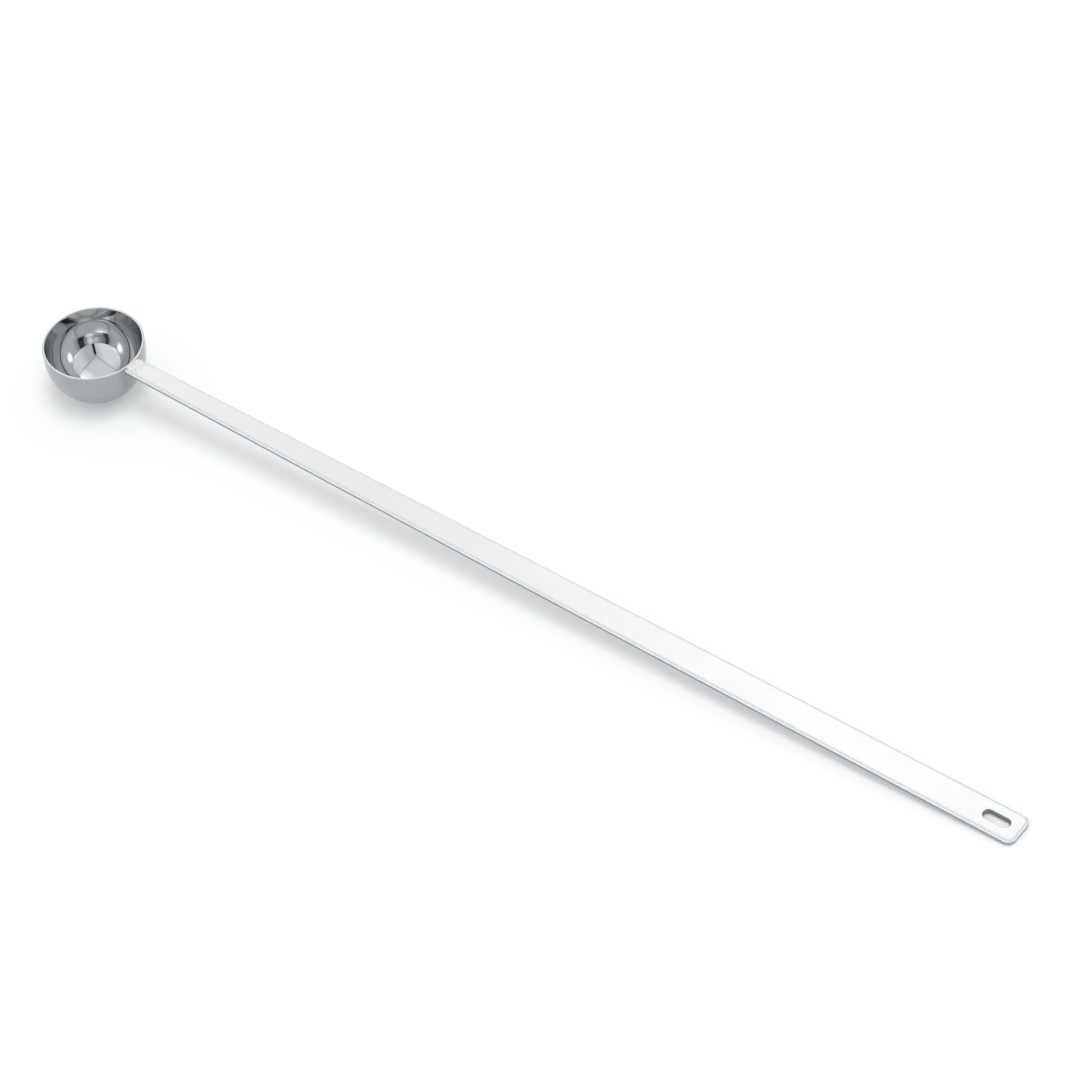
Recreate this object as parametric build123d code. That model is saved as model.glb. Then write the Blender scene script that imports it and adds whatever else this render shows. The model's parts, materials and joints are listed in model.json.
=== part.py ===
from build123d import *
import math
import os

# A long-handled measuring spoon in stainless steel. Sizes are in millimetres.
# It is drawn level: the bowl's axis is Z, the rim's top is at zero and the handle runs along +X.
# Then it is tipped into the pose in which it lies on a table, on its round bottom and its tip.

# Bowl, drawn from sheet: a straight side under the rim and a round bottom
bowl_outer_diameter = 35.8
bowl_wall = 0.8
bowl_side_height = 5.0
bowl_inner_depth = 21.65
rim_edge_radius = 0.15

# Handle, a flat strip that widens towards its tip
handle_reach = 382.0  # from the bowl's axis to the tip
handle_width_at_bowl = 7.7
handle_width_at_tip = 12.3
handle_side_bow = 0.4  # how far each long side swells past a straight taper
handle_thickness = 2.25
handle_edge_share = 0.48  # edge radius as a share of the thickness
handle_drop = 0.45  # from the rim's top down to the handle's top face
tip_corner_radius = 2.8
notch_allowance = 2.0  # strip length that the round notch at the root takes off

# Hanging slot
slot_length = 9.6
slot_width = 3.8
slot_to_tip = 4.4  # metal left between the slot and the tip
slot_edge_break = 0.2

# Weld beads, on top of the strip and under it
weld_top_leg = 1.3
weld_top_rise = 0.28
weld_under_leg = 1.2
weld_under_rise = 1.0
weld_crown_share = 0.08  # how far a bead's face bulges, as a share of its chord

# Weights that make a curve from a corner's three points a quarter ellipse
quarter_ellipse_weights = (1, math.sqrt(1 / 2), 1)
cut_overrun = 1.0  # how far a cut runs past the faces that it opens
tilt_steps = 20  # rounds in which the lying slope settles
cubic_mm_per_ml = 1000

# Sizes that follow from these
bowl_radius = bowl_outer_diameter / 2
bowl_inner_radius = bowl_radius - bowl_wall
bowl_outer_depth = bowl_inner_depth + bowl_wall
outer_bottom_rise = bowl_outer_depth - bowl_side_height
inner_bottom_rise = bowl_inner_depth - bowl_side_height
handle_top = -handle_drop
handle_under = handle_top - handle_thickness
handle_edge_radius = handle_thickness * handle_edge_share
slot_centre_x = handle_reach - slot_to_tip - slot_length / 2


def make_bowl():
    """One wall turned about Z: a straight side, then a quarter ellipse down to the axis."""
    with BuildPart() as bowl:
        with BuildSketch(Plane.XZ):
            with BuildLine():
                outer = Bezier(
                    (0, -bowl_outer_depth),
                    (bowl_radius, -bowl_outer_depth),
                    (bowl_radius, -bowl_side_height),
                    weights=quarter_ellipse_weights,
                )
                inner = Bezier(
                    (0, -bowl_inner_depth),
                    (bowl_inner_radius, -bowl_inner_depth),
                    (bowl_inner_radius, -bowl_side_height),
                    weights=quarter_ellipse_weights,
                )
                Polyline(outer @ 1, (bowl_radius, 0), (bowl_inner_radius, 0), inner @ 1)
                Line(inner @ 0, outer @ 0)
            make_face()
        revolve(axis=Axis.Z)
        rim = bowl.faces().sort_by(Axis.Z)[-1]
        fillet(rim.edges(), radius=rim_edge_radius)
    return bowl.part


def make_handle():
    """A strip with bowed, rounded sides, slotted at the tip and notched to the bowl's wall."""
    root_half = handle_width_at_bowl / 2
    tip_half = handle_width_at_tip / 2
    root_x = math.sqrt(bowl_radius**2 - root_half**2) - notch_allowance
    mid_x = (root_x + handle_reach) / 2
    pull_half = (root_half + tip_half) / 2 + 2 * handle_side_bow  # swells half way to here
    with BuildPart() as handle:
        with BuildSketch(Plane.XY.offset(handle_under)) as plan:
            with BuildLine():
                near = Bezier(
                    (root_x, -root_half), (mid_x, -pull_half), (handle_reach, -tip_half)
                )
                far = Bezier((handle_reach, tip_half), (mid_x, pull_half), (root_x, root_half))
                Line(near @ 1, far @ 0)
                Line(far @ 1, near @ 0)
            make_face()
            fillet(plan.vertices().sort_by(Axis.X)[-2:], radius=tip_corner_radius)
            with Locations((slot_centre_x, 0)):
                SlotOverall(slot_length, slot_width, mode=Mode.SUBTRACT)
        extrude(amount=handle_thickness)
        under, top = handle.faces().filter_by(Axis.Z).sort_by(Axis.Z)
        outline = under.outer_wire().edges() + top.outer_wire().edges()
        slot_rims = under.inner_wires().edges() + top.inner_wires().edges()
        rounded = outline.sort_by(Axis.X)[2:]  # not the root's end, which the notch takes off
        fillet(rounded, radius=handle_edge_radius)
        chamfer(slot_rims, length=slot_edge_break)
        with Locations((0, 0, handle_under - cut_overrun)):
            Cylinder(
                bowl_radius,
                handle_thickness + 2 * cut_overrun,
                align=(Align.CENTER, Align.CENTER, Align.MIN),
                mode=Mode.SUBTRACT,
            )
    return handle.part


def make_weld(face_z, leg, rise):
    """A bead in the corner between the wall and one flat face of the strip.

    leg is its size along the strip and rise its size up or down the wall.
    """
    corner = (bowl_radius, face_z)
    toe = (bowl_radius + leg, face_z)
    crest = (bowl_radius, face_z + rise)
    chord = math.hypot(leg, rise)
    bulge = chord * weld_crown_share
    crown = (
        bowl_radius + leg / 2 + bulge * abs(rise) / chord,
        face_z + rise / 2 + bulge * math.copysign(leg, rise) / chord,
    )
    flat_half = handle_width_at_bowl / 2 - handle_edge_radius
    half_angle = math.degrees(math.asin(flat_half / (bowl_radius + leg)))
    with BuildPart() as weld:
        with BuildSketch(Plane.XZ):
            with BuildLine():
                Polyline(crest, corner, toe)
                ThreePointArc(toe, crown, crest)
            make_face()
        revolve(axis=Axis.Z, revolution_arc=2 * half_angle)
    return weld.part.rotate(Axis.Z, -half_angle)


def lowest_of_bowl(tilt):
    """How far the bowl reaches below the rim's centre, measured along the table's normal."""
    return bowl_side_height * math.cos(tilt) + math.hypot(
        bowl_radius * math.sin(tilt), outer_bottom_rise * math.cos(tilt)
    )


def lying_tilt():
    """The slope, in radians, at which the bowl and the tip's lower edge touch one table."""
    edge_x = handle_reach - handle_edge_radius
    edge_z = handle_under + handle_edge_radius
    tilt = 0
    for step in range(tilt_steps):
        drop = lowest_of_bowl(tilt) - handle_edge_radius + edge_z * math.cos(tilt)
        tilt = math.asin(drop / edge_x)
    return tilt


tilt = lying_tilt()
level = {
    "bowl": make_bowl(),
    "handle": make_handle(),
    "weld_top": make_weld(handle_top, weld_top_leg, weld_top_rise),
    "weld_under": make_weld(handle_under, weld_under_leg, -weld_under_rise),
}
tipped = {name: Rot(0, math.degrees(tilt), 0) * piece for name, piece in level.items()}
box = Compound(list(tipped.values())).bounding_box()
middle_x = (box.min.X + box.max.X) / 2
rim_centre_height = lowest_of_bowl(tilt)
pieces = {name: Pos(-middle_x, 0, rim_centre_height) * piece for name, piece in tipped.items()}

os.makedirs("parts", exist_ok=True)
for name, piece in pieces.items():
    export_step(piece, f"parts/{name}.step")

hollow_height = bowl_side_height + inner_bottom_rise * 2 / 3
hollow = math.pi * bowl_inner_radius**2 * hollow_height / cubic_mm_per_ml
print(f"level measure {hollow:.2f} mL")
print(f"overall length, level {bowl_radius + handle_reach:.1f} mm, lying {box.size.X:.1f} mm")
print(f"handle slopes down {math.degrees(tilt):.3f} degrees")
print(f"rim centre at {-middle_x:.3f}, 0, {rim_centre_height:.3f}")
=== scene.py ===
import bmesh
import bpy
import json
import math
import numpy as np
from mathutils import Matrix, Vector


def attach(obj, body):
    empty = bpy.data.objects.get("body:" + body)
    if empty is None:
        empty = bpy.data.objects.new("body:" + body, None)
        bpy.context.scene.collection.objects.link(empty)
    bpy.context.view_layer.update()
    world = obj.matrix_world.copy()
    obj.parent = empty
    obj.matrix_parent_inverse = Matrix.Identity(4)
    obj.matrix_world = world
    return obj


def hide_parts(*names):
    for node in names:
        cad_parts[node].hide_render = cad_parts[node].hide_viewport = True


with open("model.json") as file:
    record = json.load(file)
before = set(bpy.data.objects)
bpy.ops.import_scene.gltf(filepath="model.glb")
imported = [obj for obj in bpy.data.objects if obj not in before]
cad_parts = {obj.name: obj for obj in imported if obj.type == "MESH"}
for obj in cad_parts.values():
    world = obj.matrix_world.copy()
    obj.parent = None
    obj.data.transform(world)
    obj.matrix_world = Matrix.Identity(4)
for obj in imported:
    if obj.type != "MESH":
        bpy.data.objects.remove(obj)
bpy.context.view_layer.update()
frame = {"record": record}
scene = bpy.context.scene
mounts = {mount["name"]: mount for mount in frame["record"]["mounts"]}

millimetre = 0.001  # in metres, the scene's unit
mergeWithin = 2e-6  # metres: points of neighbouring patches that lie this close become one
sharpFrom = 35  # degrees: shading breaks where two faces meet more steeply
noiseLow, noiseHigh = 0.3, 0.7  # a noise texture stays between these nearly everywhere

# The spoon is drawn level and in millimetres: the bowl's axis is z, the rim's top is at zero and
# the handle runs along +x. layDown then tips it onto the table, by the rim mount's place and axis.
rimPlace = np.array(mounts["rim_plane"]["pos_m"])
rimAxis = np.array(mounts["rim_plane"]["axis"])
acrossAxis = np.array([0.0, 1.0, 0.0])
alongAxis = np.cross(acrossAxis, rimAxis)


def layDown(points):
    turned = points @ np.array([alongAxis, acrossAxis, rimAxis])
    return turned * millimetre + rimPlace


# Shapes are numpy arrays. A patch is a grid of points: rows x columns x 3.
def carry(profile, path, outward):
    # every profile point (offset, height) stands at each path point moved by offset along outward
    flat = path[None, :, :] + outward[None, :, :] * profile[:, 0, None, None]
    height = np.broadcast_to(profile[:, 1, None, None], flat.shape[:2] + (1,))
    return np.concatenate([flat, height], axis=2)


def turn(profile, angles):
    # a profile (radius, height) turned about z: x = r cos a, y = r sin a
    ring = np.column_stack([np.cos(angles), np.sin(angles)])
    return carry(profile, np.zeros_like(ring), ring)


def fan(inner, outer, shares):
    # straight lines from each inner point to its outer point, cut at the given shares
    return inner[None] + (outer - inner)[None] * np.asarray(shares)[:, None, None]


def quarterArc(radius, steps):
    # a quarter circle from (0, radius) to (radius, 0)
    angle = np.linspace(0, math.pi / 2, steps)
    return np.column_stack([radius * np.sin(angle), radius * np.cos(angle)])


def makePiece(name, patches, materials, nodes):
    # patches are (grid, material number); shared edges are merged, and every face looks outwards
    points, faces, kinds, start = [], [], [], 0
    for grid, kind in patches:
        rows, columns = grid.shape[:2]
        number = np.arange(rows * columns).reshape(rows, columns) + start
        corners = [number[:-1, :-1], number[1:, :-1], number[1:, 1:], number[:-1, 1:]]
        quads = np.stack(corners, axis=-1).reshape(-1, 4)
        points.append(grid.reshape(-1, 3))
        faces.append(quads)
        kinds.append(np.full(len(quads), kind))
        start += rows * columns
    mesh = bpy.data.meshes.new(name)
    mesh.from_pydata(layDown(np.concatenate(points)), [], np.concatenate(faces))
    mesh.polygons.foreach_set("material_index", np.concatenate(kinds))
    work = bmesh.new()
    work.from_mesh(mesh)
    bmesh.ops.remove_doubles(work, verts=work.verts, dist=mergeWithin)
    bmesh.ops.recalc_face_normals(work, faces=work.faces)
    work.to_mesh(mesh)
    openEdges = sum(len(edge.link_faces) != 2 for edge in work.edges)
    volume = work.calc_volume(signed=True) / millimetre ** 3
    work.free()
    mesh.shade_smooth()
    mesh.set_sharp_from_angle(angle=math.radians(sharpFrom))
    for material in materials:
        mesh.materials.append(material)
    piece = bpy.data.objects.new(name, mesh)
    scene.collection.objects.link(piece)
    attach(piece, "root")
    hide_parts(*nodes)
    print(f"{name}: {len(mesh.polygons)} faces, {openEdges} open edges, {volume:.1f} mm3")
    return piece


def linear(hexColour):
    # sRGB hex to linear light by the sRGB curve, as the shader sockets want it
    parts = np.array([int(hexColour[i:i + 2], 16) for i in (0, 2, 4)]) / 255
    light = np.where(parts <= 0.04045, parts / 12.92, ((parts + 0.055) / 1.055) ** 2.4)
    return (*light, 1.0)


def addNode(tree, kind, settings, sockets):
    # sockets are filled by name, or by place among those that show; a node or a socket makes a link
    node = tree.nodes.new("ShaderNode" + kind)
    for name, value in settings.items():
        setattr(node, name, value)
    shown = [socket for socket in node.inputs if socket.enabled]
    for key, value in sockets.items():
        socket = shown[key] if isinstance(key, int) else node.inputs[key]
        if isinstance(value, bpy.types.Node):
            value = next(output for output in value.outputs if output.enabled)
        if isinstance(value, bpy.types.NodeSocket):
            tree.links.new(value, socket)
        else:
            socket.default_value = value
    return node


def newMaterial(name):
    material = bpy.data.materials.new(name)
    material.use_nodes = True
    material.node_tree.nodes.clear()
    return material, material.node_tree


def spoonCoordinates(tree):
    # the piece's own coordinates in mm, level again: x along the handle, z up the bowl's axis
    place = addNode(tree, "TexCoord", {}, {}).outputs["Object"]
    lean = math.atan2(rimAxis[0], rimAxis[2])
    moved = addNode(tree, "VectorMath", {"operation": "SUBTRACT"}, {0: place, 1: rimPlace})
    level = addNode(tree, "VectorRotate", {"rotation_type": "Y_AXIS"}, {
        "Vector": moved, "Angle": -lean})
    return addNode(tree, "VectorMath", {"operation": "SCALE"}, {0: level, "Scale": 1 / millimetre})


def makeSteel(name, finish):
    # noise stretched to the grain's size gives the marks, and wider noise varies the roughness
    material, tree = newMaterial(name)
    place = spoonCoordinates(tree)
    perMillimetre = tuple(1 / size for size in finish["grain"])
    drawn = addNode(tree, "VectorMath", {"operation": "MULTIPLY"}, {0: place, 1: perMillimetre})
    marks = addNode(tree, "TexNoise", {}, {"Vector": drawn, "Scale": 1.0, "Detail": 3.0})
    bump = addNode(tree, "Bump", {}, {
        "Height": marks, "Distance": finish["depth"] * millimetre})
    if "nearWeld" in finish:
        # facets from grinding the weld, which fade out along the handle
        zone = finish["nearWeld"]
        reach = addNode(tree, "SeparateXYZ", {}, {0: place}).outputs["X"]
        share = addNode(tree, "MapRange", {}, {
            "Value": reach, "From Min": zone["full"], "From Max": zone["gone"],
            "To Min": 1.0, "To Max": 0.0})
        facets = addNode(tree, "TexNoise", {}, {
            "Vector": place, "Scale": 1 / zone["facet"], "Detail": 1.0})
        height = addNode(tree, "Math", {"operation": "MULTIPLY"}, {0: facets, 1: share})
        bump = addNode(tree, "Bump", {}, {
            "Height": height, "Distance": zone["depth"] * millimetre, "Normal": bump})
    roughness = finish["roughness"]
    if finish["spread"] > 0:
        patches = addNode(tree, "TexNoise", {}, {
            "Vector": place, "Scale": 1 / finish["patch"], "Detail": 2.0})
        roughness = addNode(tree, "MapRange", {}, {
            "Value": patches, "From Min": noiseLow, "From Max": noiseHigh,
            "To Min": finish["roughness"] - finish["spread"] / 2,
            "To Max": finish["roughness"] + finish["spread"] / 2})
    steel = addNode(tree, "BsdfPrincipled", {}, {
        "Base Color": linear(finish["colour"]), "Metallic": 1.0, "Roughness": roughness,
        "Normal": bump})
    addNode(tree, "OutputMaterial", {}, {"Surface": steel})
    return material


# Sizes are in mm, and everything is 18/8 stainless steel. In a finish, grain is the size of its
# marks along x, y and z and depth is their height; spread is how far the roughness varies, and
# patch is how wide an even patch of it is.
bowl = {
    "outerRadius": 17.9, "wall": 0.8, "sideHeight": 5.0, "innerDepth": 21.65, "rimEdge": 0.15,
    "turnSteps": 320, "bottomSteps": 72, "sideSteps": 10, "edgeSteps": 6,
    "finishes": {
        # inside, drawn and then buffed to a mirror: it shows its surroundings sharply
        "mirrorPolishedStainlessSteel": {
            "colour": "C8CBCD", "roughness": 0.025, "grain": (1.6, 1.6, 1.6), "depth": 0.00035,
            "spread": 0},
        # rim, polished after trimming: bright, a little soft
        "polishedRimStainlessSteel": {
            "colour": "BCBEBF", "roughness": 0.16, "grain": (0.9, 0.9, 0.9), "depth": 0.02,
            "spread": 0},
        # outside, brushed while the cup turned: a soft grey sheen with faint level lines; its
        # colour is darker than the inside's, which is painted shade
        "spunSatinPaintedShadeSteel": {
            "colour": "A7ABAD", "roughness": 0.21, "grain": (14, 14, 0.35), "depth": 0.004,
            "spread": 0.08, "patch": 6},
    },
}


def wallProfile(radius, depth, side):
    # from the pole: r = R sin u, z = -side - rise cos u, then straight up the side
    u = np.linspace(0, math.pi / 2, bowl["bottomSteps"])
    bottom = np.column_stack([radius * np.sin(u), -side - (depth - side) * np.cos(u)])
    heights = np.linspace(-side, -bowl["rimEdge"], bowl["sideSteps"])[1:]
    return np.concatenate([bottom, np.column_stack([np.full(len(heights), radius), heights])])


def makeBowl():
    # one wall profile, from the inner pole over the rim to the outer pole, turned about z
    outer, edge = bowl["outerRadius"], bowl["rimEdge"]
    inner = outer - bowl["wall"]
    inside = wallProfile(inner, bowl["innerDepth"], bowl["sideHeight"])
    outside = wallProfile(outer, bowl["innerDepth"] + bowl["wall"], bowl["sideHeight"])[::-1]
    corner = quarterArc(edge, bowl["edgeSteps"])
    innerEdge = np.column_stack([inner + edge - corner[:, 1], corner[:, 0] - edge])
    outerEdge = np.column_stack([outer - edge + corner[:, 0], corner[:, 1] - edge])
    rim = np.concatenate([innerEdge, outerEdge])
    angles = np.linspace(0, 2 * math.pi, bowl["turnSteps"] + 1)
    patches = [(turn(inside, angles), 0), (turn(rim, angles), 1), (turn(outside, angles), 2)]
    steels = [makeSteel(name, finish) for name, finish in bowl["finishes"].items()]
    return makePiece("bowlShell", patches, steels, ["bowl"])


handle = {
    "reach": 382.0, "widthAtBowl": 7.7, "widthAtTip": 12.3, "sideBow": 0.4, "notchAllowance": 2.0,
    "top": -0.45, "thickness": 2.25, "edgeShare": 0.48, "tipCorner": 2.8, "notchReach": 12.0,
    "slotLength": 9.6, "slotWidth": 3.8, "slotToTip": 4.4, "slotEdge": 0.2,
    "flatBorder": 0.06,  # a flat line beside each rounding, which keeps the faces flat
    "paintedShadeFrom": 9,  # the row of the edge's profile from which the lower edge takes its darker material, which is painted shade
    "stations": 170, "crowding": 1.15,  # above 1, stations lie closer together near the tip
    "acrossSteps": 12, "edgeSteps": 12, "cornerSteps": 16, "endSteps": 14,
    "slotField": 3.0,  # the faces round the slot start this many half widths before it
    "slotRings": (0, 0.1, 0.4, 1),  # shares of the way from the slot to that field's border
    "finishes": {
        # faces, brushed lengthwise: pale and even, with faint lines along the handle, and near the
        # weld with facets from grinding, full up to one x and gone at the next
        "brushedStripStainlessSteel": {
            "colour": "D0D1D2", "roughness": 0.28, "grain": (24, 0.22, 0.22), "depth": 0.002,
            "spread": 0.02, "patch": 9,
            "nearWeld": {"full": 19.0, "gone": 22.5, "facet": 1.1, "depth": 0.22}},
        # upper edges, rounded by tumbling: soft, so that they blend into the face, and paler in
        # colour than the face, which is painted light
        "tumbledEdgePaintedLightSteel": {
            "colour": "E4E6E7", "roughness": 0.6, "grain": (1.5, 0.3, 0.3), "depth": 0.001,
            "spread": 0.05, "patch": 4},
        # lower edges, left as rolled: smoother, and darker in colour, which is painted shade that
        # makes a thin dark line under the pale face
        "rolledEdgePaintedShadeSteel": {
            "colour": "9C9FA2", "roughness": 0.22, "grain": (18, 0.3, 0.3), "depth": 0.001,
            "spread": 0.03, "patch": 5},
        # slot, left as punched: dull, and dark in colour, which is painted shade in the slot
        "punchedPaintedShadeSteel": {
            "colour": "7F8184", "roughness": 0.34, "grain": (1.2, 0.25, 0.25), "depth": 0.006,
            "spread": 0.1, "patch": 1.5},
    },
}


def halfWidth(x):
    # a quadratic Bezier whose ends and middle share one x spacing, so it is a parabola in x
    rootHalf, tipHalf = handle["widthAtBowl"] / 2, handle["widthAtTip"] / 2
    rootX = math.sqrt(bowl["outerRadius"] ** 2 - rootHalf ** 2) - handle["notchAllowance"]
    span = handle["reach"] - rootX
    pull = (rootHalf + tipHalf) / 2 + 2 * handle["sideBow"]
    t = (x - rootX) / span
    width = (1 - t) ** 2 * rootHalf + 2 * t * (1 - t) * pull + t ** 2 * tipHalf
    slope = (2 * (1 - t) * (pull - rootHalf) + 2 * t * (tipHalf - pull)) / span
    return width, slope


def handleOutline():
    # half of the plan outline: along the near side, round the corner and to the tip's middle
    wallX = math.sqrt(bowl["outerRadius"] ** 2 - halfWidth(bowl["outerRadius"])[0] ** 2)
    cornerX = handle["reach"] - handle["tipCorner"]
    spread = np.linspace(0, 1, handle["stations"])
    x = wallX + (cornerX - wallX) * (1 - (1 - spread) ** handle["crowding"])
    width, slope = halfWidth(x)
    length = np.hypot(slope, 1)
    side = np.column_stack([x, -width])
    sideOut = np.column_stack([-slope / length, -1 / length])
    angle = np.linspace(-math.pi / 2, 0, handle["cornerSteps"])[1:]
    ray = np.column_stack([np.cos(angle), np.sin(angle)])
    middle = np.array([cornerX, -width[-1] + handle["tipCorner"]])
    corner = middle + handle["tipCorner"] * ray
    y = np.linspace(corner[-1, 1], 0, handle["endSteps"] // 2 + 1)[1:]
    end = np.column_stack([np.full(len(y), handle["reach"]), y])
    endOut = np.column_stack([np.ones(len(y)), np.zeros(len(y))])
    half = np.concatenate([side, corner, end])
    halfOut = np.concatenate([sideOut, ray, endOut])
    mirrored = half[:-1][::-1] * [1, -1]
    mirroredOut = halfOut[:-1][::-1] * [1, -1]
    return np.concatenate([half, mirrored]), np.concatenate([halfOut, mirroredOut])


def notch(points):
    # near the root, x moves so that the strip's end lies on the bowl's round wall
    wall = bowl["outerRadius"]
    firstX = math.sqrt(wall ** 2 - halfWidth(wall)[0] ** 2)
    share = np.clip(1 - (points[..., 0] - firstX) / handle["notchReach"], 0, 1) ** 2
    moved = points.copy()
    moved[..., 0] += share * (np.sqrt(wall ** 2 - points[..., 1] ** 2) - firstX)
    return moved


def makeHandle():
    # the edge's profile swept round the outline, faces across it, and the slot's wall through them
    top, thickness = handle["top"], handle["thickness"]
    under = top - thickness
    edge = thickness * handle["edgeShare"]
    border = edge + handle["flatBorder"]
    path, outward = handleOutline()
    arc = quarterArc(edge, handle["edgeSteps"])
    upper = np.column_stack([arc[:, 0] - edge, top - edge + arc[:, 1]])
    lower = np.column_stack([arc[::-1, 0] - edge, under + edge - arc[::-1, 1]])
    profile = np.concatenate([[[-border, top]], upper, lower, [[-border, under]]])
    band = carry(profile, path, outward)

    # the slot's rim: the point of an obround nearest to each point of the face's border round it
    slotHalf = handle["slotWidth"] / 2
    slotX = handle["reach"] - handle["slotToTip"] - handle["slotLength"] / 2
    reach = handle["slotLength"] / 2 - slotHalf
    fieldX = slotX - reach - handle["slotField"] * slotHalf
    first = int(np.searchsorted(path[:handle["stations"], 0], fieldX))
    last = len(path) - 1 - first
    columns = np.linspace(0, 1, handle["acrossSteps"] + 1)
    faces, fields = [], []
    for rim in (band[0], band[-1]):
        faces.append(fan(rim[:first + 1], rim[::-1][:first + 1], columns))
        cross = fan(rim[last:last + 1], rim[first:first + 1], columns)[:, 0]
        fields.append(np.concatenate([rim[first:last + 1], cross[1:]]))
    ring = fields[0][:, :2]
    heartX = np.clip(ring[:, 0], slotX - reach, slotX + reach)
    heart = np.column_stack([heartX, np.zeros(len(ring))])
    ray = (ring - heart) / np.linalg.norm(ring - heart, axis=1, keepdims=True)
    cut = handle["slotEdge"]
    flat = cut + handle["flatBorder"]
    slotProfile = np.array([
        [flat, top], [cut, top], [0, top - cut], [0, under + cut], [cut, under], [flat, under]])
    slotWall = carry(slotProfile + [slotHalf, 0], heart, ray)

    # the tumbled upper edges carry painted light; the rolled lower edges and the slot wall carry
    # painted shade
    brushed, tumbledPaintedLight, rolledPaintedShade, punchedPaintedShade = range(len(handle["finishes"]))
    lowerPart = handle["paintedShadeFrom"]
    patches = [
        (notch(band[:2]), brushed), (notch(band[1:lowerPart + 1]), tumbledPaintedLight),
        (notch(band[lowerPart:-1]), rolledPaintedShade), (notch(band[-2:]), brushed),
        (notch(faces[0]), brushed), (notch(faces[1]), brushed),
        (slotWall[:2], brushed), (slotWall[1:-1], punchedPaintedShade), (slotWall[-2:], brushed),
        (fan(slotWall[0], fields[0], handle["slotRings"]), brushed),
        (fan(slotWall[-1], fields[1], handle["slotRings"]), brushed),
        (notch(fan(band[:, 0], band[:, -1], columns)), brushed)]
    steels = [makeSteel(name, finish) for name, finish in handle["finishes"].items()]
    return makePiece("handleStrip", patches, steels, ["handle"])


# weld metal, ground lightly: small facets that catch the light unevenly, and a paler colour than
# the rest of the steel, which is a painted highlight
weldPaintedHighlightFinish = {
    "colour": "E4E5E6", "roughness": 0.32, "grain": (0.45, 0.45, 0.45), "depth": 0.08, "spread": 0,
}

# the beads' ripples: even ones whose line sways, in mm, and an uneven part made of two waves;
# sunk keeps them under the bead's plain face
ripples = {
    "sway": 0.25, "even": 0.6, "uneven": 0.2, "sunk": 0.6, "slow": (2.1, 1.3), "quick": (5.3, 4.0),
}

topBead = {
    "face": -0.45, "leg": 1.3, "rise": 0.28, "crown": 0.08, "flatHalf": 2.77,
    "aroundSteps": 150, "sectionSteps": 26, "ripplePitch": 0.55, "rippleDepth": 0.05,
}
underBead = {
    "face": -2.7, "leg": 1.2, "rise": -1.0, "crown": 0.08, "flatHalf": 2.77,
    "aroundSteps": 150, "sectionSteps": 26, "ripplePitch": 0.6, "rippleDepth": 0.05,
}


def makeWeld(name, bead, node):
    # a bowed section swept round the wall; its height off the chord ripples across the weld's run
    wall = bowl["outerRadius"]
    halfAngle = math.asin(bead["flatHalf"] / (wall + bead["leg"]))
    share = np.linspace(0, 1, bead["sectionSteps"])
    angle = np.linspace(-halfAngle, halfAngle, bead["aroundSteps"])
    run, cross = np.meshgrid(angle, share)
    chord = math.hypot(bead["leg"], bead["rise"])
    normal = np.array([abs(bead["rise"]), math.copysign(bead["leg"], bead["rise"])]) / chord
    arcLength = run * wall
    swayed = arcLength + ripples["sway"] * np.cos(math.pi * cross)
    wave = np.sin(2 * math.pi * swayed / bead["ripplePitch"])
    slow, quick = ripples["slow"], ripples["quick"]
    wander = np.sin(slow[0] * arcLength + slow[1]) + np.sin(quick[0] * arcLength + quick[1] * cross)
    ripple = ripples["even"] * wave + ripples["uneven"] * wander - ripples["sunk"]
    hump = 4 * cross * (1 - cross)  # 0 at both toes of the section, 1 between them
    lift = chord * bead["crown"] * hump + bead["rippleDepth"] * hump * ripple
    radius = wall + bead["leg"] * (1 - cross) + lift * normal[0]
    height = bead["face"] + bead["rise"] * cross + lift * normal[1]
    faceSide = np.sign(bead["rise"])
    height = faceSide * np.maximum(faceSide * height, faceSide * bead["face"])
    surface = np.stack([radius * np.cos(run), radius * np.sin(run), height], axis=-1)
    faceHeight = np.full(len(angle), bead["face"])
    corner = np.column_stack([wall * np.cos(angle), wall * np.sin(angle), faceHeight])
    grids = [surface, fan(surface[-1], corner, [0, 1]), fan(corner, surface[0], [0, 1])]
    for end in (0, -1):
        point = np.broadcast_to(corner[end], surface[:, end].shape)
        grids.append(fan(point, surface[:, end], [0, 1]))
    patches = [(grid, 0) for grid in grids]
    # the weld's paler colour is a painted highlight
    steels = [makeSteel("weldedPaintedHighlightSteel", weldPaintedHighlightFinish)]
    return makePiece(name, patches, steels, [node])


makeBowl()
makeHandle()
makeWeld("topWeldBead", topBead, "weld_top")
makeWeld("underWeldBead", underBead, "weld_under")
print("pieces are built")

table = {"halfSize": 3.0, "sideSteps": 3, "colour": "E5E7E9", "ownLight": 0.22}


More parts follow.
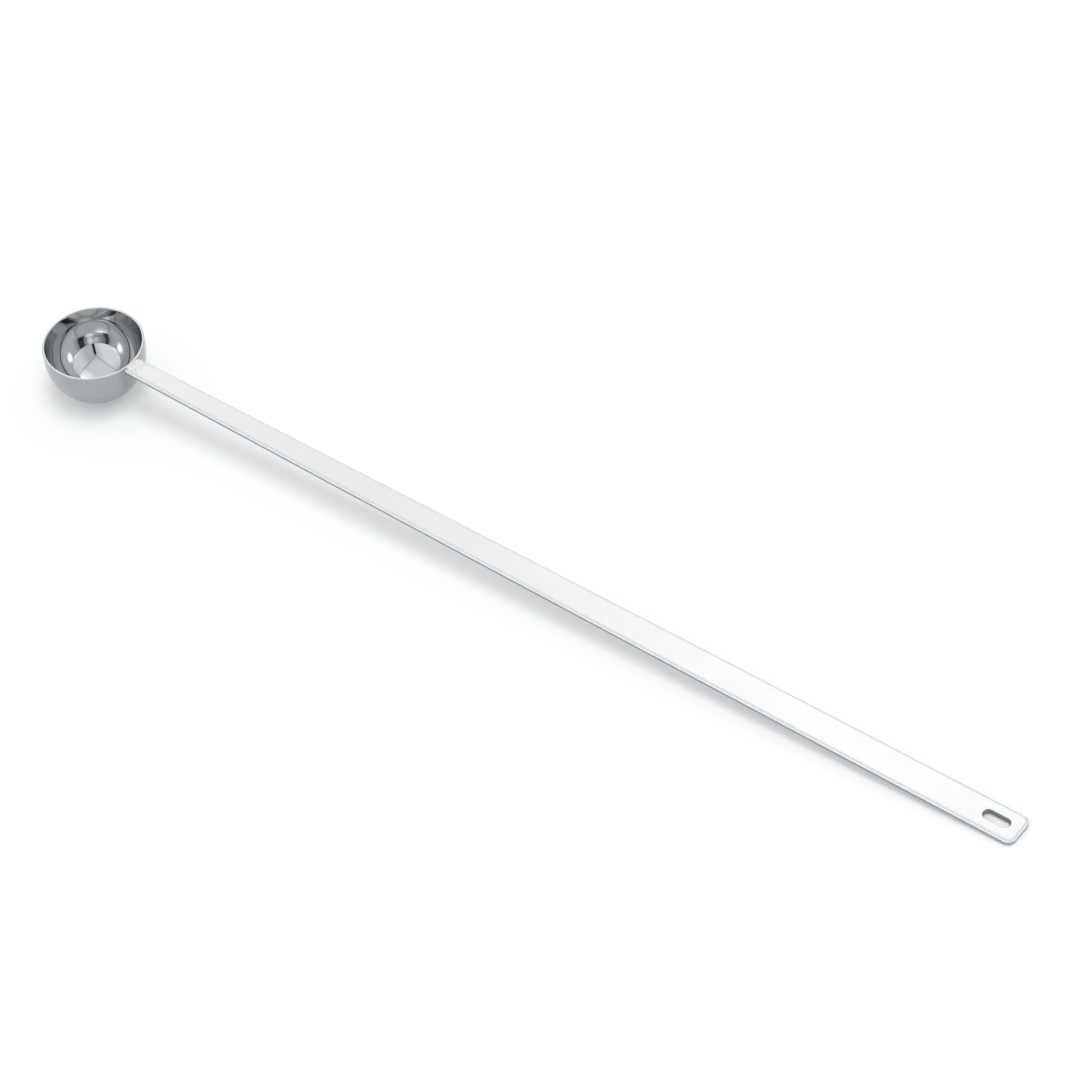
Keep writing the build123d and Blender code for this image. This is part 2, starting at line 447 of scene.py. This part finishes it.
def makeTable():
    # a plain pale sheet; a little light of its own, seen directly or mirrored, makes it white
    half = table["halfSize"]
    side = np.linspace(-half, half, table["sideSteps"])
    x, y = np.meshgrid(side, side)
    grid = np.stack([x, y, np.zeros_like(x)], axis=-1)
    mesh = bpy.data.meshes.new("paperTable")
    number = np.arange(x.size).reshape(x.shape)
    corners = [number[:-1, :-1], number[:-1, 1:], number[1:, 1:], number[1:, :-1]]
    mesh.from_pydata(grid.reshape(-1, 3), [], np.stack(corners, axis=-1).reshape(-1, 4))
    material, tree = newMaterial("mattPaper")
    seen = addNode(tree, "LightPath", {}, {})
    direct = addNode(tree, "Math", {"operation": "MAXIMUM"}, {
        0: seen.outputs["Is Camera Ray"], 1: seen.outputs["Is Glossy Ray"]})
    shown = addNode(tree, "Math", {"operation": "MAXIMUM"}, {
        0: direct, 1: seen.outputs["Is Transmission Ray"]})
    strength = addNode(tree, "Math", {"operation": "MULTIPLY"}, {0: shown, 1: table["ownLight"]})
    paper = addNode(tree, "BsdfPrincipled", {}, {
        "Base Color": linear(table["colour"]), "Roughness": 1.0, "Specular IOR Level": 0.0,
        "Emission Color": (1, 1, 1, 1), "Emission Strength": strength})
    addNode(tree, "OutputMaterial", {}, {"Surface": paper})
    mesh.materials.append(material)
    paperTable = bpy.data.objects.new("paperTable", mesh)
    scene.collection.objects.link(paperTable)


# The steel mirrors a tent of white cloth. Directions are (azimuth, elevation) in degrees, in the
# row's frame. Two seams run from a joint down to the sides and part the top from the two walls.
tent = {
    "joint": (-38.5, 50.5), "rightSeamTo": (66, 43), "leftSeamTo": (-150, 56.5),
    "rightWall": 0.98, "leftWall": 1.08, "topCloth": 0.95,
    "seamShade": 0.3, "seamHalfWidth": 2.6, "seamCore": 0.3, "seamEnd": -0.03,
    "farWall": {"azimuth": 128, "half": 44, "below": 38, "level": 0.65, "soft": 4},
    # azimuth, elevation, full inside, gone outside, brightness added
    "glows": [(20, 13, 3, 18, 2.2), (-101, 15, 6, 18, 1.8), (-101, 24, 2, 13, 0.5),
              (145, 41, 4, 17, 0.8), (150, 20, 3, 13, 0.9), (128, 10, 8, 24, 0.55),
              (76, 56, 4, 22, 0.4)],
    # azimuth, half width, from, to, share of the light that is lost, softness
    "gaps": [(77, 7, 10, 46, 0.85, 4), (77, 18, 6, 48, 0.4, 12), (186.5, 12.5, 10, 49, 0.9, 5),
             (-158, 14, 8, 56, 0.35, 12), (-28, 20, 8, 60, 0.27, 10),
             (-39.4, 2.8, 20, 49, 0.97, 0.8)],
    "plainLevel": 0.67,  # the even light that matt surfaces get
}


def towards(azimuth, elevation):
    # the unit vector of a direction in degrees
    a, e = math.radians(azimuth), math.radians(elevation)
    return np.array([math.cos(e) * math.cos(a), math.cos(e) * math.sin(a), math.sin(e)])


# settings that many nodes of the tent share
product, smooth = {"operation": "MULTIPLY"}, {"interpolation_type": "SMOOTHSTEP"}
along, over = {"operation": "DOT_PRODUCT"}, {"operation": "GREATER_THAN"}


def sine(degrees):
    return math.sin(math.radians(degrees))


def uprightStrip(tree, look, azimuth, half, soft):
    # 1 where the look lies within half degrees of an azimuth, 0 elsewhere, and softly between
    ahead = towards(azimuth, 0)
    side = addNode(tree, "VectorMath", along, {0: look, 1: (-ahead[1], ahead[0], 0)})
    side = addNode(tree, "Math", {"operation": "ABSOLUTE"}, {0: side})
    inside = addNode(tree, "MapRange", smooth, {
        "Value": side, "From Min": sine(half - soft), "From Max": sine(half + soft),
        "To Min": 1, "To Max": 0})
    facing = addNode(tree, "VectorMath", along, {0: look, 1: ahead})
    front = addNode(tree, "Math", over, {0: facing, 1: 0})
    return addNode(tree, "Math", product, {0: inside, 1: front})


def levelBand(tree, height, low, high, soft):
    # 1 between two elevations, 0 above and below them, and softly between
    above = addNode(tree, "MapRange", smooth, {
        "Value": height, "From Min": sine(low - soft), "From Max": sine(low + soft)})
    below = addNode(tree, "MapRange", smooth, {
        "Value": height, "From Min": sine(high - soft), "From Max": sine(high + soft),
        "To Min": 1, "To Max": 0})
    return addNode(tree, "Math", product, {0: above, 1: below})


def tentSeams(tree, look):
    # each seam is a great circle from the joint: heights are above it, reaches run along it
    joint = towards(*tent["joint"])
    heights, reaches = [], []
    for end in ("leftSeamTo", "rightSeamTo"):
        goal = towards(*tent[end])
        across = np.cross(joint, goal)
        across *= math.copysign(1, across[2]) / np.linalg.norm(across)
        run = goal - joint * (joint @ goal)
        heights.append(addNode(tree, "VectorMath", along, {0: look, 1: across}))
        reaches.append(addNode(tree, "VectorMath", along, {0: look, 1: run}))
    aside = towards(tent["joint"][0] + 90, 0)
    sideways = addNode(tree, "VectorMath", along, {0: look, 1: aside})
    right = addNode(tree, "Math", over, {0: sideways, 1: 0})
    height = addNode(tree, "Mix", {}, {0: right, 1: heights[0], 2: heights[1]})
    reach = addNode(tree, "Mix", {}, {0: right, 1: reaches[0], 2: reaches[1]})
    return right, height, reach


def tentLight(tree, look):
    # walls and top cloth, then the seams' shade, the darker far wall, the glows and the gaps
    right, seamHeight, seamReach = tentSeams(tree, look)
    wall = addNode(tree, "Mix", {}, {0: right, 1: tent["leftWall"], 2: tent["rightWall"]})
    overhead = addNode(tree, "Math", over, {0: seamHeight, 1: 0})
    level = addNode(tree, "Mix", {}, {0: overhead, 1: wall, 2: tent["topCloth"]})
    width = sine(tent["seamHalfWidth"])
    fromSeam = addNode(tree, "Math", {"operation": "ABSOLUTE"}, {0: seamHeight})
    kept = addNode(tree, "MapRange", smooth, {
        "Value": fromSeam, "From Min": width * tent["seamCore"], "From Max": width,
        "To Min": 1 - tent["seamShade"], "To Max": 1})
    beyond = addNode(tree, "Math", over, {0: seamReach, 1: tent["seamEnd"]})
    kept = addNode(tree, "Mix", {}, {0: beyond, 1: 1.0, 2: kept})
    level = addNode(tree, "Math", product, {0: level, 1: kept})

    height = addNode(tree, "SeparateXYZ", {}, {0: look}).outputs["Z"]
    far = tent["farWall"]
    strip = uprightStrip(tree, look, far["azimuth"], far["half"], far["soft"])
    band = levelBand(tree, height, -90 + far["soft"], far["below"], far["soft"])
    here = addNode(tree, "Math", product, {0: strip, 1: band})
    level = addNode(tree, "Mix", {}, {0: here, 1: level, 2: far["level"]})
    for azimuth, elevation, inner, outer, amount in tent["glows"]:
        near = addNode(tree, "VectorMath", along, {0: look, 1: towards(azimuth, elevation)})
        glow = addNode(tree, "MapRange", smooth, {
            "Value": near, "From Min": sine(90 - outer), "From Max": sine(90 - inner),
            "To Max": amount})
        level = addNode(tree, "Math", {"operation": "ADD"}, {0: level, 1: glow})
    for azimuth, half, low, high, depth, soft in tent["gaps"]:
        strip = uprightStrip(tree, look, azimuth, half, soft)
        band = levelBand(tree, height, low, high, soft)
        here = addNode(tree, "Math", product, {0: strip, 1: band})
        kept = addNode(tree, "MapRange", {}, {"Value": here, "To Min": 1, "To Max": 1 - depth})
        level = addNode(tree, "Math", product, {0: level, 1: kept})
    return level


def makeTent():
    # steel sees the tent, the camera sees plain white, and matt surfaces get an even light
    world = bpy.data.worlds.new("lightTent")
    scene.world = world
    world.use_nodes = True
    tree = world.node_tree
    tree.nodes.clear()
    level = tentLight(tree, addNode(tree, "TexCoord", {}, {}).outputs["Generated"])
    path = addNode(tree, "LightPath", {}, {})
    shown = addNode(tree, "Mix", {}, {
        0: path.outputs["Is Glossy Ray"], 1: tent["plainLevel"], 2: level})
    strength = addNode(tree, "Mix", {}, {0: path.outputs["Is Camera Ray"], 1: shown, 2: 1.0})
    back = addNode(tree, "Background", {}, {"Color": (1, 1, 1, 1), "Strength": strength})
    addNode(tree, "OutputWorld", {}, {"Surface": back})
    world.cycles.sampling_method = "NONE"


# two wide soft lamps, one overhead and one to the front right, give the table its soft shadows
lamps = {
    "overheadLamp": {"azimuth": 0, "elevation": 80, "spread": 24, "strength": 0.77},
    "frontRightLamp": {"azimuth": -30, "elevation": 58, "spread": 20, "strength": 0.4},
}


def makeLamp(name, lamp):
    light = bpy.data.lights.new(name, "SUN")
    light.angle = math.radians(lamp["spread"])
    light.energy = lamp["strength"]
    holder = bpy.data.objects.new(name, light)
    scene.collection.objects.link(holder)
    direction = Vector(towards(lamp["azimuth"], lamp["elevation"]))
    holder.rotation_euler = direction.to_track_quat("Z", "Y").to_euler()
    holder.visible_glossy = False  # the steel mirrors the tent and the strip light alone


# a long strip light behind the spoon, near enough to brighten the handle towards its tip
stripLight = {"place": (-0.18, 0.623, 0.865), "width": 0.84, "height": 0.3, "level": 1.8}


def makeStripLight():
    # a plane that faces the spoon; its light fades smoothly to its edges
    wide, high = stripLight["width"] / 2, stripLight["height"] / 2
    corners = np.array([[-wide, -high, 0], [wide, -high, 0], [wide, high, 0], [-wide, high, 0]])
    mesh = bpy.data.meshes.new("stripLight")
    mesh.from_pydata(corners, [], [(0, 1, 2, 3)])
    material, tree = newMaterial("diffusingCloth")
    place = addNode(tree, "TexCoord", {}, {}).outputs["Object"]
    share = addNode(tree, "VectorMath", {"operation": "DIVIDE"}, {0: place, 1: (wide, high, 1)})
    far = addNode(tree, "VectorMath", {"operation": "ABSOLUTE"}, {0: share})
    parts = addNode(tree, "SeparateXYZ", {}, {0: far})
    fades = [addNode(tree, "MapRange", smooth, {
        "Value": parts.outputs[axis], "To Min": 1, "To Max": 0}) for axis in ("X", "Y")]
    level = addNode(tree, "Math", product, {0: fades[0], 1: fades[1]})
    strength = addNode(tree, "Math", product, {0: level, 1: stripLight["level"]})
    glow = addNode(tree, "Emission", {}, {"Strength": strength})
    clear = addNode(tree, "BsdfTransparent", {}, {})
    both = addNode(tree, "AddShader", {}, {0: glow, 1: clear})
    addNode(tree, "OutputMaterial", {}, {"Surface": both})
    mesh.materials.append(material)
    panel = bpy.data.objects.new("stripLight", mesh)
    scene.collection.objects.link(panel)
    panel.location = stripLight["place"]
    panel.rotation_euler = Vector(stripLight["place"]).to_track_quat("Z", "Y").to_euler()
    panel.visible_camera = panel.visible_diffuse = panel.visible_shadow = False


camera = {
    "place": (0.660306, -0.693273, 1.006404), "aim": (-0.004982, 0.022468, 0.0),
    "lens": 139.37, "roll": -8.12, "farLimit": 50,
}


def makeCamera():
    # the camera's right and up are turned about its line of sight by the roll
    place, aim = Vector(camera["place"]), Vector(camera["aim"])
    forward = (aim - place).normalized()
    level = forward.cross(Vector((0, 0, 1))).normalized()
    roll = math.radians(camera["roll"])
    right = level * math.cos(roll) + level.cross(forward) * math.sin(roll)
    up = right.cross(forward)
    data = bpy.data.cameras.new("photoCamera")
    data.lens = camera["lens"]
    data.clip_end = camera["farLimit"]
    holder = bpy.data.objects.new("photoCamera", data)
    scene.collection.objects.link(holder)
    turned = Matrix((right, up, -forward)).transposed().to_4x4()
    holder.matrix_world = Matrix.Translation(place) @ turned
    scene.camera = holder


makeTable()
makeTent()
for name, lamp in lamps.items():
    makeLamp(name, lamp)
makeStripLight()
makeCamera()
scene.view_settings.view_transform = "Standard"
scene.cycles.glossy_bounces = 12  # the mirrored inside reflects itself many times near the rim
print("table, tent, lamps and camera are set")
